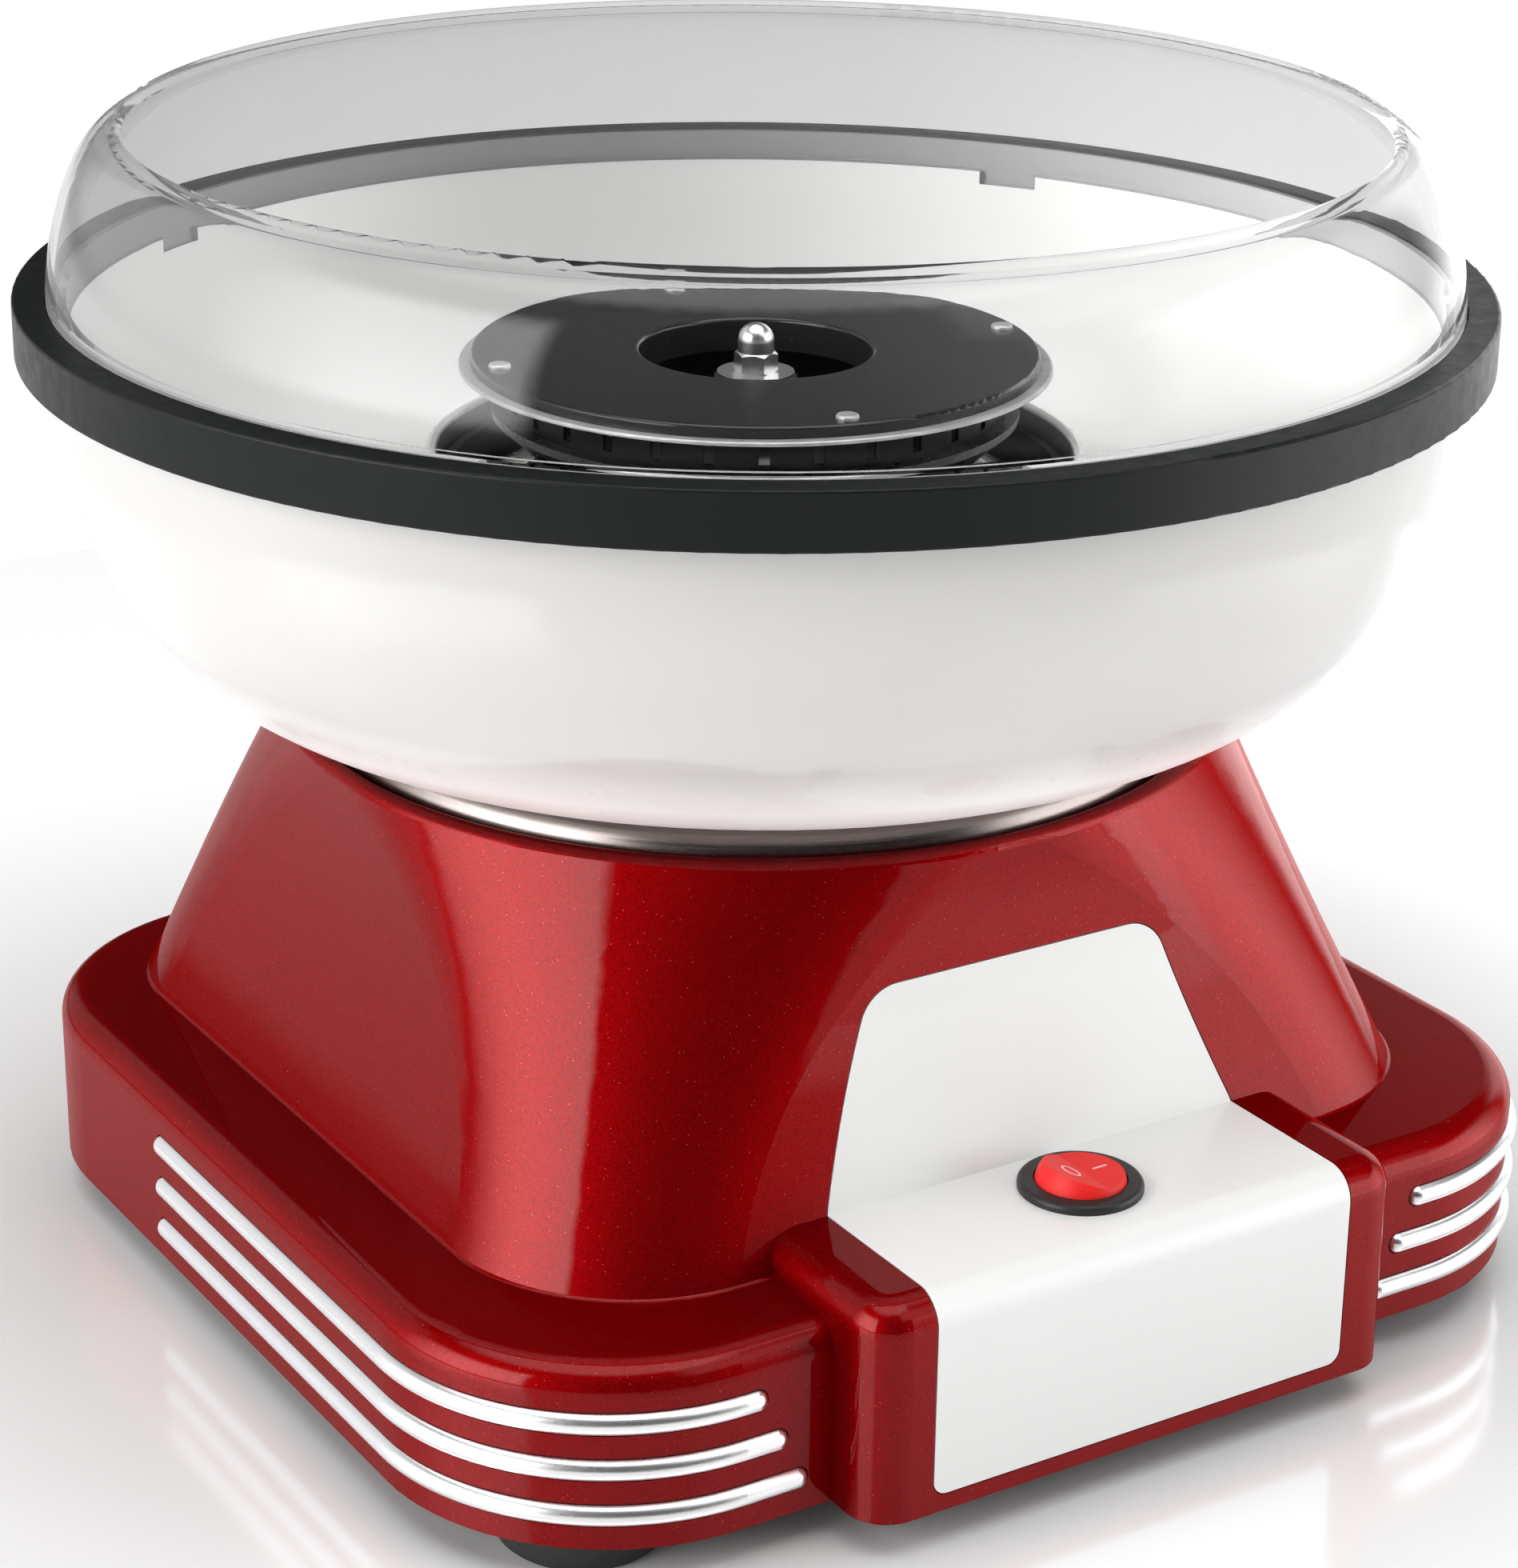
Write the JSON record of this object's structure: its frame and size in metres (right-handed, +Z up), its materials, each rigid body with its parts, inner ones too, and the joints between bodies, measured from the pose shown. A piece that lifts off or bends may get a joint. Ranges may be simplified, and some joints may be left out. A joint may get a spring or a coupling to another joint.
{
  "type": "cotton candy machine",
  "caption": "Tabletop electric sugar floss spinner: red rounded pedestal with rocker switch, spinning heated extractor, lift-off white bowl and clear domed guard.",
  "frame": {"origin": "on the floor, on the axis of motor, extractor and bowl, which is the centre of the overall box", "axes": "+Z up along the spin axis; -Y towards the switch box and the user; +X to the user's right"},
  "size_m": [0.3, 0.3, 0.241],
  "materials": {
    "red_metallic": "candy red metallic lacquer on moulded ABS",
    "panel_white": "satin white moulded ABS",
    "base_black": "textured black moulding",
    "switch_black": "black nylon",
    "inlet_black": "soft black bush",
    "rocker_red": "translucent-looking red, polished",
    "terminal_brass": "plain",
    "dish_steel": "spun, fine circular brushing",
    "pan_dark": "dark heat-proof coat",
    "element_sheath": "oxidised tube",
    "clip_steel": "stamped sheet",
    "zinc_steel": "zinc plated",
    "motor_can": "drawn can, plated",
    "bearing_bronze": "sintered bronze",
    "magnet_ferrite": "ferrite",
    "brush_carbon": "carbon",
    "shaft_steel": "ground steel",
    "rotor_steel": "lacquered laminations",
    "extractor_black": "black coated aluminium",
    "lip_aluminium": "spun edge",
    "lid_black": "black enamel",
    "nut_chrome": "polished",
    "bowl_white": "polished white ABS",
    "ring_black": "smooth charcoal trim",
    "guard_clear": "clear polystyrene",
    "foot_rubber": "moulded",
    "trim_chrome": "bright chrome on ABS"
  },
  "bodies": {
    "base": {"housing": "red_metallic", "front_panel": "panel_white", "base_plate": "base_black", "foot_screws": "zinc_steel", "base_screws": "zinc_steel", "switch_body": "switch_black", "switch_terminals": "terminal_brass", "cord_inlet": "inlet_black", "steel_dish": "dish_steel", "dish_screws": "zinc_steel", "heater_pan": "pan_dark", "heating_element": "element_sheath", "element_clips": "clip_steel", "clip_screws": "zinc_steel", "motor_plate": "zinc_steel", "motor_case": "motor_can", "motor_end_cap": "switch_black", "upper_bearing": "bearing_bronze", "lower_bearing": "bearing_bronze", "motor_magnets": "magnet_ferrite", "motor_brushes": "brush_carbon", "motor_screws": "zinc_steel", "foot_front_left": "foot_rubber", "foot_front_right": "foot_rubber", "foot_rear_left": "foot_rubber", "foot_rear_right": "foot_rubber", "trim_strip_right_top": "trim_chrome", "trim_strip_right_middle": "trim_chrome", "trim_strip_right_bottom": "trim_chrome", "trim_strip_left_top": "trim_chrome", "trim_strip_left_middle": "trim_chrome", "trim_strip_left_bottom": "trim_chrome"},
    "spinner": {"motor_shaft": "shaft_steel", "rotor": "rotor_steel", "commutator": "terminal_brass", "extractor_drum": "extractor_black", "extractor_screen": "clip_steel", "extractor_lip": "lip_aluminium", "extractor_lid": "lid_black", "lid_rivets": "lip_aluminium", "hub_washer": "shaft_steel", "acorn_nut": "nut_chrome"},
    "rocker": {"rocker": "rocker_red"},
    "bowl": {"floss_bowl": "bowl_white", "bowl_ring": "ring_black"},
    "guard": {"splash_guard": "guard_clear"}
  },
  "joints": [
    {"name": "extractor_spin", "type": "hinge", "parent": "base", "child": "spinner", "pos_m": [0, 0, 0.1], "axis": [0, 0, 1], "continuous": true},
    {"name": "rocker_tilt", "type": "hinge", "parent": "base", "child": "rocker", "pos_m": [0, -0.122, 0.0532], "axis": [0, 1, 0], "range_deg": [-18, 0]},
    {"name": "bowl_lift", "type": "slide", "parent": "base", "child": "bowl", "axis": [0, 0, 1], "range_m": [0, 0.1]},
    {"name": "guard_lift", "type": "slide", "parent": "bowl", "child": "guard", "axis": [0, 0, 1], "range_m": [0, 0.06]}
  ]
}
